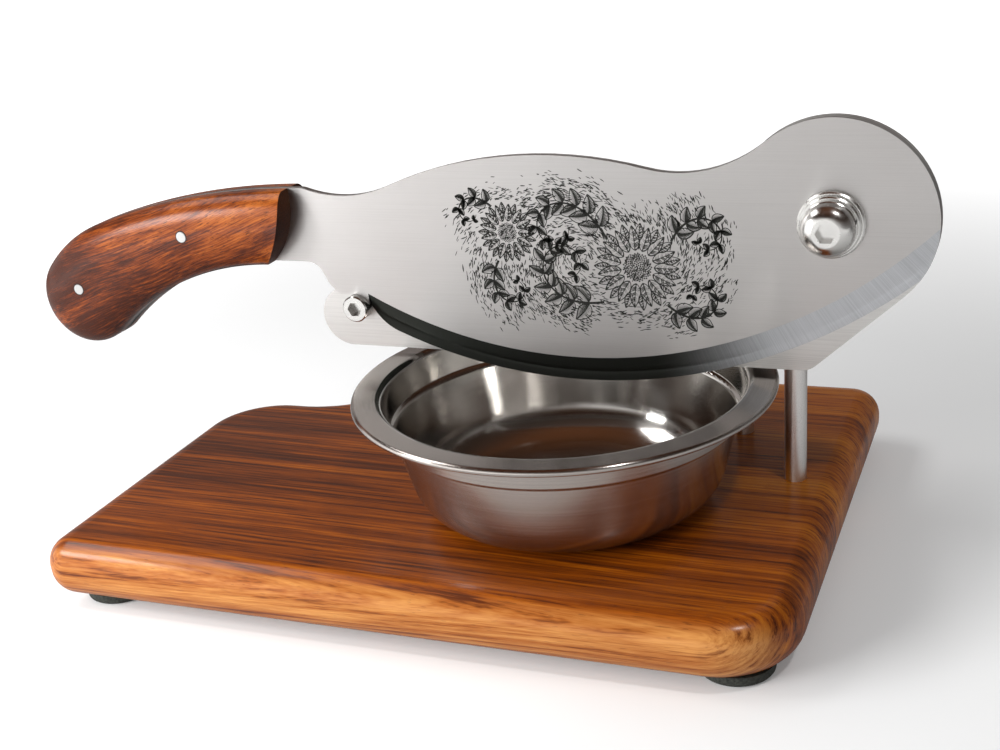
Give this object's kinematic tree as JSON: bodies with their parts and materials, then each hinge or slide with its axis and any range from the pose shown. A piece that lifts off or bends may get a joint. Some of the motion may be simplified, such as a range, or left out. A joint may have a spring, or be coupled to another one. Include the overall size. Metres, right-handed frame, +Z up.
{
  "type": "hand lever meat slicer",
  "caption": "Hand-lever slicer: a curved shear blade with a wooden grip pivots on a steel anvil plate above a rounded wooden board with a steel catch bowl.",
  "frame": {"origin": "middle of the overall length and of the board's depth, at floor level under the feet", "axes": "+X along the blade towards the pivot, +Y to the back, +Z up"},
  "size_m": [0.3472, 0.204, 0.1592],
  "materials": {
    "board_wood": "lacquered, glossy",
    "handle_wood": "oiled, half gloss",
    "blade_steel": "brushed along its length, ground bevel",
    "plate_steel": "brushed along its length",
    "bowl_steel": "spun stainless steel, satin outside, polished inside",
    "post_steel": "turned and brushed",
    "bracket_steel": "bent sheet, brushed",
    "fastener_steel": "bright stainless steel",
    "bush_steel": "turned",
    "foot_rubber": "matte",
    "foot_screw_steel": "zinc plated",
    "lock_ring_nylon": "nylon"
  },
  "bodies": {
    "base": {"base_board": "board_wood", "foot_screws": "foot_screw_steel", "post_front": "post_steel", "post_rear": "post_steel", "post_washers": "fastener_steel", "post_nuts": "fastener_steel", "plate_bracket": "bracket_steel", "anvil_plate": "plate_steel", "plate_screws": "fastener_steel", "plate_nuts": "fastener_steel", "stop_screw": "fastener_steel", "stop_washer": "fastener_steel", "stop_nut": "fastener_steel", "pivot_bush": "bush_steel", "pivot_flat_washer": "bush_steel", "pivot_spring_washer": "fastener_steel", "pivot_bolt": "fastener_steel", "pivot_rear_washer": "bush_steel", "pivot_lock_nut": "fastener_steel", "lock_nut_ring": "lock_ring_nylon", "foot_front_left": "foot_rubber", "foot_front_right": "foot_rubber", "foot_rear_left": "foot_rubber", "foot_rear_right": "foot_rubber"},
    "blade_lever": {"blade": "blade_steel", "handle_scale_front": "handle_wood", "handle_scale_rear": "handle_wood", "handle_pin_inner": "fastener_steel", "handle_pin_outer": "fastener_steel"},
    "bowl": {"catch_bowl": "bowl_steel"}
  },
  "joints": [
    {"name": "blade_pivot", "type": "hinge", "parent": "base", "child": "blade_lever", "pos_m": [0.13965, -0.00735, 0.1252], "axis": [0, 1, 0], "range_deg": [0, 75]},
    {"name": "bowl_slide", "type": "slide", "parent": "base", "child": "bowl", "axis": [0, -1, 0], "range_m": [0, 0.02]}
  ]
}
